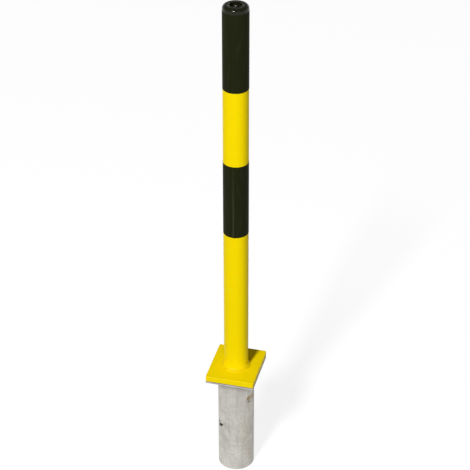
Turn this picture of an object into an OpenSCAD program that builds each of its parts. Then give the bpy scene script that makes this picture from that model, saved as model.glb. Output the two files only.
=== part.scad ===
// Removable barrier post with a triangular-key lock, standing in its ground sleeve.
// All sizes are in millimetres. The origin is on the sleeve's axis at the underside of the
// sleeve's plate, which is the ground line. The front of the plates faces -Y.

/* [Post tube] */
// Outside diameter of the post tube
post_od = 60.3; // [54:0.1:66]
// Wall of the post tube
post_wall = 2.9; // [2:0.1:3.6]
// Top of the head above the ground line
post_height = 1000.5; // [850:0.5:1200]
// Length of the tube below the ground line
stub_depth = 190; // [170:5:210]

/* [Head] */
// Height of the head above the end of the tube
cap_height = 13; // [12.5:0.5:18]
// Radius of the head's rounded shoulder
cap_shoulder = 8; // [6:0.5:12]
// Length of the head's spigot inside the tube
spigot_length = 24; // [20:1:34]
// Wall of the spigot's hollow end
spigot_wall = 4; // [2.5:0.5:6]
// Diameter of the key recess
recess_d = 29.3; // [26:0.1:31]
// Depth of the key recess below the top of the head
recess_depth = 24; // [20:1:26]
// Wall of the cup that lines the recess
cup_wall = 2.2; // [1.2:0.1:2.4]
// Floor of the cup
cup_floor = 3; // [2:0.5:4]
// Height of the cup's lip above the head
lip_rise = 0.6; // [0.2:0.1:1]

/* [Black bands] */
// Length of the upper band, which starts under the head
upper_band_l = 190.5; // [120:0.5:220]
// Length of yellow tube between the two bands
band_gap = 190; // [100:1:220]
// Length of the lower band
lower_band_l = 193; // [120:0.5:220]
// Thickness of the band film
film_t = 0.3; // [0.2:0.05:0.6]

/* [Plates] */
// Width of both plates along the front
plate_w = 122; // [112:1:160]
// Depth of both plates from front to back
plate_d = 141; // [112:1:180]
// Thickness of the post's foot plate
foot_t = 14; // [6:0.5:16]
// Thickness of the ground sleeve's plate
ground_t = 6; // [5:0.5:12]
// Radius of the plates' corners
corner_r = 4; // [2:0.5:8]
// Chamfer on the plates' edges
edge_chamfer = 0.8; // [0.3:0.1:1.5]
// Leg of the weld between tube and foot plate
foot_weld_leg = 5; // [3:0.5:8]

/* [Ground sleeve] */
// Outside diameter of the ground sleeve
sleeve_od = 91; // [86:0.5:102]
// Wall of the ground sleeve
sleeve_wall = 3; // [2:0.5:5]
// Length of the sleeve below the ground line
sleeve_depth = 288; // [270:1:400]
// Bevel on the upper end of the sleeve, which the weld to the plate fills
sleeve_bevel = 2.5; // [1.5:0.25:2.5]
// Gap round the post in the plate's hole
hole_gap = 0.85; // [0.4:0.05:1.5]
// Gap round the post in the guide ring
guide_gap = 0.6; // [0.4:0.05:1]
// Thickness of the guide ring
guide_ring_t = 8; // [5:1:12]
// Height of the guide ring above the end of the post
guide_ring_rise = 20; // [10:1:50]

/* [Locating peg] */
// Diameter of the peg that stops the post turning
peg_d = 12; // [8:0.5:14]
// Depth of the peg below the ground line
peg_drop = 65; // [40:1:90]
// Angle of the peg from the front, towards +X
peg_angle = 58; // [20:1:70]
// How far the peg reaches into the tube's wall
peg_bite = 2; // [1:0.1:2]
// Gap on each side of the peg in the keyway
keyway_gap = 0.5; // [0.3:0.1:1]

/* [Lock] */
// Diameter of the lock rod
rod_d = 12; // [10:0.5:14]
// Side of the triangular spindle
spindle_side = 14; // [12:0.5:16]
// Diameter to which the triangle's corners are turned down
spindle_corner_d = 14.8; // [12.5:0.1:15]
// Depth of the spindle's end below the top of the head
spindle_drop = 3; // [1:0.5:6]
// Angle of the triangle's leading corner from the front, towards +X
spindle_angle = 10; // [0:1:30]
// Turn of the key between free and locked
lock_turn = 90; // [80:1:90]
// Width of the crossbar
crossbar_w = 18; // [15:0.5:20]
// Thickness of the crossbar
crossbar_t = 14; // [10:0.5:16]
// Gap between the crossbar's tips and the line of the tube's bore
crossbar_inset = 1.25; // [0.5:0.25:3]
// Gap on each side of the crossbar between the keeper plates
slot_gap = 3; // [1.5:0.25:4]
// Gap between the locked crossbar and the keeper plates
lock_gap = 2; // [1:0.25:4]
// Thickness of the keeper plates
keeper_t = 8; // [5:0.5:10]
// Drop from the end of the post to the keeper plates
keeper_drop = 6; // [3:0.5:12]
// Leg of the keeper plates' welds
keeper_weld_leg = 4; // [2:0.5:5]
// Length of rod below the crossbar
rod_tail = 4; // [2:0.5:8]

/* [Bearings] */
// Thickness of the bearing plate in the end of the tube
bearing_t = 8; // [6:0.5:12]
// Wall of the two bushes
bush_wall = 2.5; // [1.5:0.25:3]
// Thickness of the bushes' flanges
flange_t = 1.8; // [1:0.1:3]
// Width of the bushes' flanges beyond the barrel
flange_w = 2.5; // [1.5:0.25:3]
// Length of the spindle bush below the cup
bush_tail = 11; // [8:1:16]
// Depth of the rod guide's middle below the top of the head
rod_guide_drop = 540; // [300:10:700]
// Thickness of the rod guide
rod_guide_t = 14; // [8:1:24]

/* [Stop collar] */
// Diameter of the stop collar
collar_d = 42; // [40:1:46]
// Thickness of the stop collar
collar_t = 8; // [5:0.5:12]
// Diameter of the collar's hub
hub_d = 22; // [19:0.5:24]
// Height of the hub above the collar
hub_h = 10; // [8:1:14]
// Diameter of the stop pin
stop_pin_d = 6; // [4:0.5:7]
// Radius at which the stop pin stands
stop_pin_r = 16.5; // [15.5:0.25:18]

/* [Coupling] */
// Outside diameter of the coupling between spindle and rod
coupling_od = 19; // [17:0.5:24]
// Length of the coupling
coupling_l = 48; // [40:2:80]
// Gap between spindle and rod inside the coupling
coupling_gap = 2; // [1:0.5:4]
// Diameter of the roll pins
roll_pin_d = 4; // [3:0.5:5]
// Thickness of the thrust washer
washer_t = 1.5; // [1:0.1:3]
// Thickness of the retaining ring
snap_ring_t = 1.2; // [0.8:0.1:2]
// Depth of the retaining ring's groove
groove_depth = 0.7; // [0.4:0.1:1]

/* [Clearances] */
// Radial clearance of a turning fit
run_gap = 0.05; // [0.02:0.01:0.1]
// Radial clearance of a piece that is pressed or welded in place
fit_gap = 0.08; // [0.05:0.01:0.2]
// Clearance along the axis between turning faces
axial_gap = 0.3; // [0.2:0.05:0.5]

/* [Hidden] */
// Facets of a round face, and of a small one such as a pin or a corner
$fn = 72;
SMALL_FN = 32;

// Extra length that carries a cut past the faces it goes through
cut = 1;

post_r = post_od / 2;
post_bore_r = post_r - post_wall;
seam_z = post_height - cap_height;
stub_end_z = -stub_depth;
foot_z = ground_t;
foot_top_z = foot_z + foot_t;

sleeve_r = sleeve_od / 2;
sleeve_bore_r = sleeve_r - sleeve_wall;

recess_r = recess_d / 2;
cup_r = recess_r + cup_wall;
recess_floor_z = post_height - recess_depth;
cup_bottom_z = recess_floor_z - cup_floor;
core_bottom_z = cup_bottom_z - fit_gap;

rod_r = rod_d / 2;
bush_r = rod_r + run_gap + bush_wall;
bush_flange_r = bush_r + flange_w;
spindle_bush_bottom_z = cup_bottom_z - bush_tail;
spindle_collar_z = recess_floor_z + flange_t + axial_gap;
spindle_collar_t = 2;
spindle_corner_r = spindle_corner_d / 2;
spindle_top_z = post_height - spindle_drop;
spindle_chamfer = 1;

washer_z = spindle_bush_bottom_z - axial_gap - washer_t;
snap_ring_z = washer_z - snap_ring_t;
snap_ring_width = 4;
snap_ring_opening = 6;
ring_to_coupling = 6;
coupling_top_z = snap_ring_z - ring_to_coupling;
coupling_mid_z = coupling_top_z - coupling_l / 2;
coupling_bottom_z = coupling_top_z - coupling_l;
spindle_end_z = coupling_mid_z + coupling_gap / 2;
rod_top_z = coupling_mid_z - coupling_gap / 2;
upper_pin_z = coupling_mid_z + coupling_l / 4;
lower_pin_z = coupling_mid_z - coupling_l / 4;
rod_guide_z = post_height - rod_guide_drop;

bearing_top_z = stub_end_z + bearing_t;
collar_z = bearing_top_z + flange_t + axial_gap;
collar_top_z = collar_z + collar_t;
hub_r = hub_d / 2;
stop_root = 1;
collar_pin_z = collar_top_z + hub_h / 2;
stop_slot_r = hub_r + stop_root;
stop_half_angle = asin((stop_pin_d / 2 + axial_gap) / stop_pin_r);
stop_pin_rise = 2;
stop_pin_top_z = collar_top_z + stop_pin_rise;

keeper_top_z = stub_end_z - keeper_drop;
keeper_z = keeper_top_z - keeper_t;
crossbar_top_z = keeper_z - lock_gap;
crossbar_z = crossbar_top_z - crossbar_t;
crossbar_r = post_bore_r - crossbar_inset;
crossbar_lead = 3;
slot_half = crossbar_w / 2 + slot_gap;
rod_bottom_z = crossbar_z - rod_tail;
guide_ring_z = stub_end_z + guide_ring_rise;

film_r = post_r + fit_gap;
upper_band_z = seam_z - upper_band_l;
lower_band_z = upper_band_z - band_gap - lower_band_l;

paint_yellow = "#f5d908";
film_black = "#24251a";
cap_black = "#2a2b20";
zinc_grey = "#bfbdb4";
steel_grey = "#8f9194";
bronze = "#b08a4e";
nylon_white = "#e6e2d6";
rust_brown = "#8a6d4a";

// A flat ring that stands on height z
module ring(outer_r, inner_r, z, h) {
    translate([0, 0, z])
        difference() {
            cylinder(r = outer_r, h = h);
            translate([0, 0, -cut])
                cylinder(r = inner_r, h = h + 2 * cut);
        }
}

// A plate with round corners and chamfered edges, centred on the axis
module plate_blank(z, t) {
    translate([0, 0, z])
        hull()
            for (x = [-1, 1], y = [-1, 1])
                translate([x * (plate_w / 2 - corner_r), y * (plate_d / 2 - corner_r), 0])
                    chamfered_disc(corner_r, t, edge_chamfer);
}

// A short round bar with a chamfer at both ends
module chamfered_disc(r, h, c) {
    rotate_extrude($fn = SMALL_FN)
        polygon([[0, 0], [r - c, 0], [r, c], [r, h - c], [r - c, h], [0, h]]);
}

// A weld bead with a quarter-round section in the corner between a wall and a face.
// out is 1 outside the wall and -1 inside it, and up is 1 above the face and -1 below it.
module weld_bead(wall_r, leg, z, out, up) {
    translate([0, 0, z])
        rotate_extrude()
            intersection() {
                translate([wall_r + (out - 1) / 2 * leg, (up - 1) / 2 * leg])
                    square(leg);
                translate([wall_r, 0])
                    circle(r = leg);
            }
}

// A pin hole or roll pin that crosses the axis along Y at height z
module cross_pin(r, length, z) {
    translate([0, length / 2, z])
        rotate([90, 0, 0])
            cylinder(r = r, h = length, $fn = SMALL_FN);
}

// A bush that hangs from its flange. The flange lies on height z.
module flanged_bush(z, barrel_l) {
    difference() {
        union() {
            translate([0, 0, z])
                cylinder(r = bush_flange_r, h = flange_t);
            translate([0, 0, z - barrel_l])
                cylinder(r = bush_r, h = barrel_l + flange_t);
        }
        translate([0, 0, z - barrel_l - cut])
            cylinder(r = rod_r + run_gap, h = barrel_l + flange_t + 2 * cut);
    }
}

// Turns what points to the front so that it points to the locating peg
module at_peg() {
    rotate([0, 0, peg_angle])
        children();
}

// Ground sleeve: the tube that is set in concrete, with the peg's hole through its wall
module sleeve_tube() {
    color(zinc_grey)
        difference() {
            rotate_extrude()
                polygon([
                    [sleeve_bore_r, -sleeve_depth],
                    [sleeve_r, -sleeve_depth],
                    [sleeve_r, -sleeve_bevel],
                    [sleeve_r - sleeve_bevel, 0],
                    [sleeve_bore_r, 0]
                ]);
            at_peg()
                translate([0, -sleeve_bore_r + sleeve_wall, -peg_drop])
                    rotate([90, 0, 0])
                        cylinder(r = peg_d / 2 + fit_gap, h = 3 * sleeve_wall);
        }
}

// Ground sleeve: the plate on top of the tube, with the hole that the post drops through
module sleeve_plate() {
    color(zinc_grey)
        difference() {
            plate_blank(0, ground_t);
            translate([0, 0, -cut])
                cylinder(r = post_r + hole_gap, h = ground_t + 2 * cut);
        }
}

// Weld all round under the sleeve's plate, which fills the bevel and is dressed flush with the
// sleeve's wall
module sleeve_weld() {
    color(zinc_grey)
        rotate_extrude()
            polygon([
                [sleeve_r - sleeve_bevel, 0],
                [sleeve_r, 0],
                [sleeve_r, -sleeve_bevel]
            ]);
}

// Ring welded inside the sleeve that centres the lower end of the post
module guide_ring() {
    color(zinc_grey)
        ring(sleeve_bore_r - fit_gap, post_r + guide_gap, guide_ring_z, guide_ring_t);
}

// One keeper: a round segment that leaves a straight slot beside it. side is -1 for the front.
module keeper(side) {
    color(zinc_grey)
        intersection() {
            translate([0, 0, keeper_z])
                cylinder(r = sleeve_bore_r - fit_gap, h = keeper_t);
            translate([-sleeve_r, side > 0 ? slot_half : -slot_half - sleeve_r, keeper_z])
                cube([2 * sleeve_r, sleeve_r, keeper_t]);
        }
}

module keeper_front() {
    keeper(-1);
}

module keeper_back() {
    keeper(1);
}

// Welds under the two keepers, along the sleeve's wall
module keeper_welds() {
    color(zinc_grey)
        difference() {
            weld_bead(sleeve_bore_r, keeper_weld_leg, keeper_z, -1, -1);
            translate([-sleeve_r, -slot_half, keeper_z - keeper_weld_leg - cut])
                cube([2 * sleeve_r, 2 * slot_half, keeper_weld_leg + 2 * cut]);
        }
}

// Peg through the sleeve's wall that runs in the post's keyway. Its outer end is bare steel.
module locating_peg() {
    peg_tip_r = post_r - peg_bite;
    peg_end_r = sqrt(sleeve_r * sleeve_r - peg_d * peg_d / 4);
    color(rust_brown)
        at_peg()
            translate([0, -peg_tip_r, -peg_drop])
                rotate([90, 0, 0])
                    cylinder(r = peg_d / 2, h = peg_end_r - peg_tip_r);
}

// Post tube in one length, from the head to its end in the sleeve, with the keyway
module post_tube() {
    keyway_r = peg_d / 2 + keyway_gap;
    color(paint_yellow)
        difference() {
            ring(post_r, post_bore_r, stub_end_z, seam_z - stub_end_z);
            at_peg()
                translate([0, -post_bore_r + post_wall, -peg_drop])
                    rotate([90, 0, 0])
                        cylinder(r = keyway_r, h = 3 * post_wall);
            at_peg()
                translate([-keyway_r, -post_r - post_wall, stub_end_z - cut])
                    cube([2 * keyway_r, 3 * post_wall, -peg_drop - stub_end_z + cut]);
        }
}

// Foot plate that is welded round the tube and covers the sleeve's plate
module foot_plate() {
    color(paint_yellow)
        difference() {
            plate_blank(foot_z, foot_t);
            translate([0, 0, foot_z - cut])
                cylinder(r = post_r + fit_gap, h = foot_t + 2 * cut);
        }
}

// Weld all round the tube on the foot plate
module foot_weld() {
    color(paint_yellow)
        weld_bead(post_r, foot_weld_leg, foot_top_z, 1, 1);
}

module upper_band() {
    color(film_black)
        ring(film_r + film_t, film_r, upper_band_z, upper_band_l);
}

module lower_band() {
    color(film_black)
        ring(film_r + film_t, film_r, lower_band_z, lower_band_l);
}

// Head: a casting with a rounded shoulder, a spigot for the tube and a bore for the cup
module head_cap() {
    spigot_r = post_bore_r - fit_gap;
    spigot_bottom_z = min(seam_z - spigot_length, core_bottom_z - cut);
    straight_h = cap_height - cap_shoulder;
    color(cap_black)
        difference() {
            union() {
                translate([0, 0, seam_z])
                    rotate_extrude() {
                        square([post_r, straight_h]);
                        square([post_r - cap_shoulder, cap_height]);
                        intersection() {
                            translate([post_r - cap_shoulder, straight_h])
                                circle(r = cap_shoulder);
                            translate([0, straight_h])
                                square([post_r, cap_shoulder]);
                        }
                    }
                translate([0, 0, spigot_bottom_z])
                    cylinder(r = spigot_r, h = seam_z - spigot_bottom_z + cut / 2);
            }
            translate([0, 0, spigot_bottom_z - cut])
                cylinder(r = spigot_r - spigot_wall, h = core_bottom_z - spigot_bottom_z + cut);
            translate([0, 0, spigot_bottom_z])
                cylinder(r = cup_r + fit_gap, h = post_height - spigot_bottom_z + cut);
        }
}

// Cup that lines the key recess, with a rounded lip and a hole for the bush
module key_cup() {
    lip_r = cup_wall / 2;
    color(cap_black)
        difference() {
            union() {
                translate([0, 0, cup_bottom_z])
                    cylinder(r = cup_r, h = post_height + lip_rise - lip_r - cup_bottom_z);
                translate([0, 0, post_height + lip_rise - lip_r])
                    rotate_extrude()
                        translate([recess_r + lip_r, 0])
                            circle(r = lip_r, $fn = SMALL_FN);
            }
            translate([0, 0, recess_floor_z])
                cylinder(r = recess_r, h = recess_depth + lip_rise + cut);
            translate([0, 0, cup_bottom_z - cut])
                cylinder(r = bush_r + fit_gap, h = cup_floor + 2 * cut);
        }
}

// Bronze bush in the floor of the cup
module spindle_bush() {
    color(bronze)
        flanged_bush(recess_floor_z, cup_floor + bush_tail);
}

// Moulded spider that keeps the long rod in the middle of the tube
module rod_guide() {
    rim_r = post_bore_r - fit_gap;
    rim_w = 3.5;
    spoke_w = 5;
    hub_wall = 5;
    guide_hub_r = rod_r + hub_wall;
    color(nylon_white)
        translate([0, 0, rod_guide_z - rod_guide_t / 2])
            linear_extrude(rod_guide_t)
                difference() {
                    union() {
                        difference() {
                            circle(r = rim_r);
                            circle(r = rim_r - rim_w);
                        }
                        circle(r = guide_hub_r);
                        for (a = [45, 135])
                            rotate(a)
                                square([2 * rim_r - rim_w, spoke_w], center = true);
                    }
                    circle(r = rod_r + run_gap);
                }
}

// Steel plate welded in the end of the tube, which carries the lower bush and the stop pin
module bearing_plate() {
    color(steel_grey)
        difference() {
            ring(post_bore_r - fit_gap, bush_r + fit_gap, stub_end_z, bearing_t);
            translate([0, stop_pin_r, stub_end_z - cut])
                cylinder(r = stop_pin_d / 2 + fit_gap, h = bearing_t + 2 * cut, $fn = SMALL_FN);
        }
}

// Bronze bush in the bearing plate
module lower_bush() {
    color(bronze)
        flanged_bush(bearing_top_z, bearing_t);
}

// Pin that stands up from the bearing plate into the collar's slot
module stop_pin() {
    color(steel_grey)
        translate([0, stop_pin_r, stub_end_z])
            cylinder(r = stop_pin_d / 2, h = stop_pin_top_z - stub_end_z, $fn = SMALL_FN);
}

// Key spindle: a triangular end in the recess on a round shank that hangs from its collar
module key_spindle() {
    triangle_h = spindle_top_z - spindle_collar_z - spindle_collar_t;
    color(steel_grey)
        difference() {
            union() {
                translate([0, 0, spindle_collar_z + spindle_collar_t])
                    intersection() {
                        rotate(spindle_angle - 90)
                            linear_extrude(triangle_h)
                                circle(r = spindle_side / sqrt(3), $fn = 3);
                        rotate_extrude()
                            polygon([
                                [0, 0],
                                [spindle_corner_r, 0],
                                [spindle_corner_r, triangle_h - spindle_chamfer],
                                [spindle_corner_r - spindle_chamfer, triangle_h],
                                [0, triangle_h]
                            ]);
                    }
                translate([0, 0, spindle_collar_z])
                    cylinder(r = bush_r, h = spindle_collar_t);
                translate([0, 0, spindle_end_z])
                    cylinder(r = rod_r, h = spindle_collar_z - spindle_end_z + cut);
            }
            ring(rod_r + cut, rod_r - groove_depth, snap_ring_z, snap_ring_t);
            cross_pin(roll_pin_d / 2 + fit_gap, 2 * rod_d, upper_pin_z);
        }
}

// Washer between the spindle bush and the retaining ring
module thrust_washer() {
    color(steel_grey)
        ring(bush_r + flange_w, rod_r + fit_gap, washer_z, washer_t);
}

// Open retaining ring in the spindle's groove
module snap_ring() {
    snap_bore_r = rod_r - groove_depth + fit_gap;
    color(steel_grey)
        difference() {
            ring(rod_r + snap_ring_width, snap_bore_r, snap_ring_z, snap_ring_t);
            translate([-snap_ring_opening / 2, 0, snap_ring_z - cut])
                cube([snap_ring_opening, rod_d + snap_ring_width, snap_ring_t + 2 * cut]);
        }
}

// Sleeve that joins the spindle to the long rod
module coupling_tube() {
    color(steel_grey)
        difference() {
            ring(coupling_od / 2, rod_r + fit_gap, coupling_bottom_z, coupling_l);
            cross_pin(roll_pin_d / 2 + fit_gap, 2 * coupling_od, upper_pin_z);
            cross_pin(roll_pin_d / 2 + fit_gap, 2 * coupling_od, lower_pin_z);
        }
}

// Two roll pins through the coupling
module coupling_pins() {
    color(steel_grey) {
        cross_pin(roll_pin_d / 2, coupling_od, upper_pin_z);
        cross_pin(roll_pin_d / 2, coupling_od, lower_pin_z);
    }
}

// Long rod from the coupling to below the crossbar
module lock_rod() {
    color(steel_grey)
        difference() {
            translate([0, 0, rod_bottom_z])
                cylinder(r = rod_r, h = rod_top_z - rod_bottom_z);
            cross_pin(roll_pin_d / 2 + fit_gap, 2 * rod_d, lower_pin_z);
            cross_pin(roll_pin_d / 2 + fit_gap, 2 * rod_d, collar_pin_z);
            cross_pin(roll_pin_d / 2 + fit_gap, 2 * rod_d, crossbar_z + crossbar_t / 2);
        }
}

// Collar on the rod with an open slot that lets it turn from free to locked
module stop_collar() {
    color(steel_grey)
        difference() {
            union() {
                translate([0, 0, collar_z])
                    cylinder(r = collar_d / 2, h = collar_t);
                translate([0, 0, collar_z])
                    cylinder(r = hub_r, h = collar_t + hub_h);
            }
            translate([0, 0, collar_z - cut])
                cylinder(r = rod_r + fit_gap, h = collar_t + hub_h + 2 * cut);
            translate([0, 0, collar_z - cut])
                rotate(90 - lock_turn - stop_half_angle)
                    rotate_extrude(angle = lock_turn + 2 * stop_half_angle)
                        translate([stop_slot_r, 0])
                            square([collar_d / 2, collar_t + 2 * cut]);
            cross_pin(roll_pin_d / 2 + fit_gap, 2 * hub_d, collar_pin_z);
        }
}

module collar_pin() {
    color(steel_grey)
        cross_pin(roll_pin_d / 2, hub_d, collar_pin_z);
}

// Crossbar that drops through the slot and turns under the keepers, eased on its leading edges
module crossbar() {
    color(steel_grey)
        difference() {
            intersection() {
                translate([0, 0, crossbar_z])
                    cylinder(r = crossbar_r, h = crossbar_t);
                translate([-crossbar_r, -crossbar_w / 2, crossbar_z])
                    cube([2 * crossbar_r, crossbar_w, crossbar_t]);
            }
            translate([0, 0, crossbar_z - cut])
                cylinder(r = rod_r + fit_gap, h = crossbar_t + 2 * cut);
            for (side = [0, 180])
                rotate(side)
                    translate([rod_d, crossbar_w / 2, crossbar_top_z])
                        rotate([45, 0, 0])
                            translate([0, -crossbar_lead / 2, -crossbar_lead / 2])
                                cube([crossbar_r, crossbar_lead, crossbar_lead]);
            cross_pin(roll_pin_d / 2 + fit_gap, 2 * crossbar_w, crossbar_z + crossbar_t / 2);
        }
}

module crossbar_pin() {
    color(steel_grey)
        cross_pin(roll_pin_d / 2, crossbar_w, crossbar_z + crossbar_t / 2);
}

sleeve_tube();
sleeve_plate();
sleeve_weld();
guide_ring();
keeper_front();
keeper_back();
keeper_welds();
locating_peg();
post_tube();
foot_plate();
foot_weld();
upper_band();
lower_band();
head_cap();
key_cup();
spindle_bush();
rod_guide();
bearing_plate();
lower_bush();
stop_pin();
key_spindle();
thrust_washer();
snap_ring();
coupling_tube();
coupling_pins();
lock_rod();
stop_collar();
collar_pin();
crossbar();
crossbar_pin();
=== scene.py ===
import math

import bmesh
import bpy
import numpy as np
from mathutils import Matrix, Vector


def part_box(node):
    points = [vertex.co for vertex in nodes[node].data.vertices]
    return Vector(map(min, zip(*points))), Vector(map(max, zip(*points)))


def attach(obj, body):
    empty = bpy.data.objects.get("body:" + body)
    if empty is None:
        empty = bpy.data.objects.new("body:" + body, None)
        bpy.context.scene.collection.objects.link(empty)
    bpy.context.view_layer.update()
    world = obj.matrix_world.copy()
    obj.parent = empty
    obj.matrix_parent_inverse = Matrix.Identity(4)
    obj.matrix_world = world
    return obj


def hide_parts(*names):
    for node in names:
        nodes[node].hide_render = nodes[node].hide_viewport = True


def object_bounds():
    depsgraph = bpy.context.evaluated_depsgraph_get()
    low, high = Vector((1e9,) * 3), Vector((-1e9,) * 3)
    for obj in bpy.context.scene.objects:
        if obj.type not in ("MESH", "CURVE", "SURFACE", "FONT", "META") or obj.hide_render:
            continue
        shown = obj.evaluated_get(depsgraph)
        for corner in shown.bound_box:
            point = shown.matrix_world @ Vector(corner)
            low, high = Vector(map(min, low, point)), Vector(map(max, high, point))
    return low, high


# A removable barrier post that stands in its ground sleeve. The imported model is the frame, in
# metres: the origin is on the sleeve's axis at the ground line, and the front faces -Y.
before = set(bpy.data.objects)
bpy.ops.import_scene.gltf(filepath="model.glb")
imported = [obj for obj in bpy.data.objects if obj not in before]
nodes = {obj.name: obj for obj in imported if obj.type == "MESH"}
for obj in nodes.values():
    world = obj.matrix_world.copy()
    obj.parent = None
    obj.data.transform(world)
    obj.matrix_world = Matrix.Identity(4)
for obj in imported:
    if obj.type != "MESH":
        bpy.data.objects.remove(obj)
cad_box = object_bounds()


# Camera. The photograph was taken with a long lens from above the head and a little to the right
# of the front. Its place and turn are fitted to the outlines of the tube, bands, plates and sleeve.
CAMERA_PLACE = (0.8025, -3.1192, 2.4791)
CAMERA_TURN = math.radians(14.47)
CAMERA_DIP = math.radians(32.80)
CAMERA_ROLL = math.radians(-0.106)
LENS_LENGTH = 123.42
SENSOR_WIDTH = 36.0

camera = bpy.data.objects.new("photo_camera", bpy.data.cameras.new("photo_camera"))
camera.data.sensor_fit = "HORIZONTAL"
camera.data.sensor_width = SENSOR_WIDTH
camera.data.lens = LENS_LENGTH
camera.rotation_mode = "QUATERNION"
camera.rotation_quaternion = (
    Matrix.Rotation(CAMERA_TURN, 3, "Z")
    @ Matrix.Rotation(math.pi / 2 - CAMERA_DIP, 3, "X")
    @ Matrix.Rotation(CAMERA_ROLL, 3, "Z")
).to_quaternion()
camera.location = CAMERA_PLACE
bpy.context.scene.collection.objects.link(camera)
bpy.context.scene.camera = camera
bpy.context.scene.view_settings.view_transform = "Standard"


# Studio. White paper on the floor and all round under a dark ceiling, a lamp left of the camera
# that casts the tube's shadow over the foot plate, and three wide soft lights low down. A light's
# level is the share of a surface's own brightness that it gives a surface that faces it.
KEY_TURN, KEY_RISE, KEY_LEVEL = -24.4, 45.5, 0.97
KEY_DISTANCE, KEY_WIDTH, KEY_HEIGHT = 14.0, 1.7, 2.6
SOFT_LIGHTS = {  # turn from the camera towards +X, rise, level
    "left": (-110.0, 2.0, 0.30),
    "right": (38.0, 2.0, 0.34),
    "back": (180.0, 2.0, 0.40),
}
SOFT_LIGHT_SPREAD = math.radians(10)
ROOM_LEVEL = 0.06
CEILING_LEVEL = 0.12
CEILING_FROM, CEILING_FULL = math.sin(math.radians(12)), math.sin(math.radians(26))
PAPER_ALBEDO = 0.20
PAPER_GLOW = 0.86
FLOOR_HALF_WIDTH = 30.0
FLOOR_DROP = 0.0002


def direction(turn, rise):
    """Unit vector from the object towards a light: turned from the camera's side towards +X, and
    raised above the horizon, in degrees."""
    around = CAMERA_TURN + math.radians(turn)
    up = math.radians(rise)
    return Vector(
        (math.sin(around) * math.cos(up), -math.cos(around) * math.cos(up), math.sin(up))
    )


def aim(light, towards, place):
    """Puts a light at a place, facing back along the direction that it stands in, with its long
    side upright."""
    light.rotation_mode = "QUATERNION"
    light.rotation_quaternion = (-towards).to_track_quat("-Z", "Y")
    light.location = place
    bpy.context.scene.collection.objects.link(light)


key = bpy.data.objects.new("key_lamp", bpy.data.lights.new("key_lamp", "AREA"))
key.data.shape = "RECTANGLE"
key.data.size = KEY_WIDTH
key.data.size_y = KEY_HEIGHT
key.data.energy = math.pi**2 * KEY_DISTANCE**2 * KEY_LEVEL
key.visible_camera = False
key_direction = direction(KEY_TURN, KEY_RISE)
aim(key, key_direction, key_direction * KEY_DISTANCE)

for name, (turn, rise, level) in SOFT_LIGHTS.items():
    soft = bpy.data.objects.new(f"soft_light_{name}", bpy.data.lights.new(name, "SUN"))
    soft.data.angle = SOFT_LIGHT_SPREAD
    soft.data.energy = math.pi * level
    soft.visible_glossy = False
    aim(soft, direction(turn, rise), direction(turn, rise) * KEY_DISTANCE)


def wire(tree, node, inputs):
    """Sets a node's inputs. A value that is another node's output is linked, and any other value
    is written on the input."""
    for name, value in inputs.items():
        if isinstance(value, bpy.types.NodeSocket):
            tree.links.new(value, node.inputs[name])
        else:
            node.inputs[name].default_value = value


def add_node(tree, kind, inputs, **settings):
    """Adds one node with its settings and its inputs, and gives it back."""
    node = tree.nodes.new(kind)
    for name, value in settings.items():
        setattr(node, name, value)
    wire(tree, node, inputs)
    return node


def seen_directly(tree):
    """1 for what the camera sees, also in a reflection or through glass, and 0 for the light that
    a surface gathers: the largest of three flags of the light path."""
    path = add_node(tree, "ShaderNodeLightPath", {})
    camera_or_gloss = add_node(
        tree,
        "ShaderNodeMath",
        {0: path.outputs["Is Camera Ray"], 1: path.outputs["Is Glossy Ray"]},
        operation="MAXIMUM",
    )
    return add_node(
        tree,
        "ShaderNodeMath",
        {0: camera_or_gloss.outputs[0], 1: path.outputs["Is Transmission Ray"]},
        operation="MAXIMUM",
    ).outputs[0]


room = bpy.data.worlds.new("white_room")
room.use_nodes = True
bpy.context.scene.world = room
room_path = add_node(room.node_tree, "ShaderNodeLightPath", {})
room_place = add_node(room.node_tree, "ShaderNodeTexCoord", {}).outputs["Generated"]
room_axes = add_node(room.node_tree, "ShaderNodeSeparateXYZ", {"Vector": room_place})
ceiling = add_node(
    room.node_tree,
    "ShaderNodeMapRange",
    {
        "Value": room_axes.outputs["Z"],
        "From Min": CEILING_FROM,
        "From Max": CEILING_FULL,
        "To Min": 1.0,
        "To Max": CEILING_LEVEL,
    },
)
mirrored = add_node(
    room.node_tree,
    "ShaderNodeMath",
    {0: room_path.outputs["Is Glossy Ray"], 1: ceiling.outputs[0]},
    operation="MULTIPLY",
)
backdrop = add_node(
    room.node_tree,
    "ShaderNodeMath",
    {0: room_path.outputs["Is Camera Ray"], 1: room_path.outputs["Is Transmission Ray"]},
    operation="MAXIMUM",
)
visible_room = add_node(
    room.node_tree,
    "ShaderNodeMath",
    {0: mirrored.outputs[0], 1: backdrop.outputs[0]},
    operation="MAXIMUM",
)
room_strength = add_node(
    room.node_tree,
    "ShaderNodeMath",
    {0: visible_room.outputs[0], 1: ROOM_LEVEL},
    operation="MAXIMUM",
)
wire(
    room.node_tree,
    room.node_tree.nodes["Background"],
    {"Color": (1.0, 1.0, 1.0, 1.0), "Strength": room_strength.outputs[0]},
)

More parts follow.
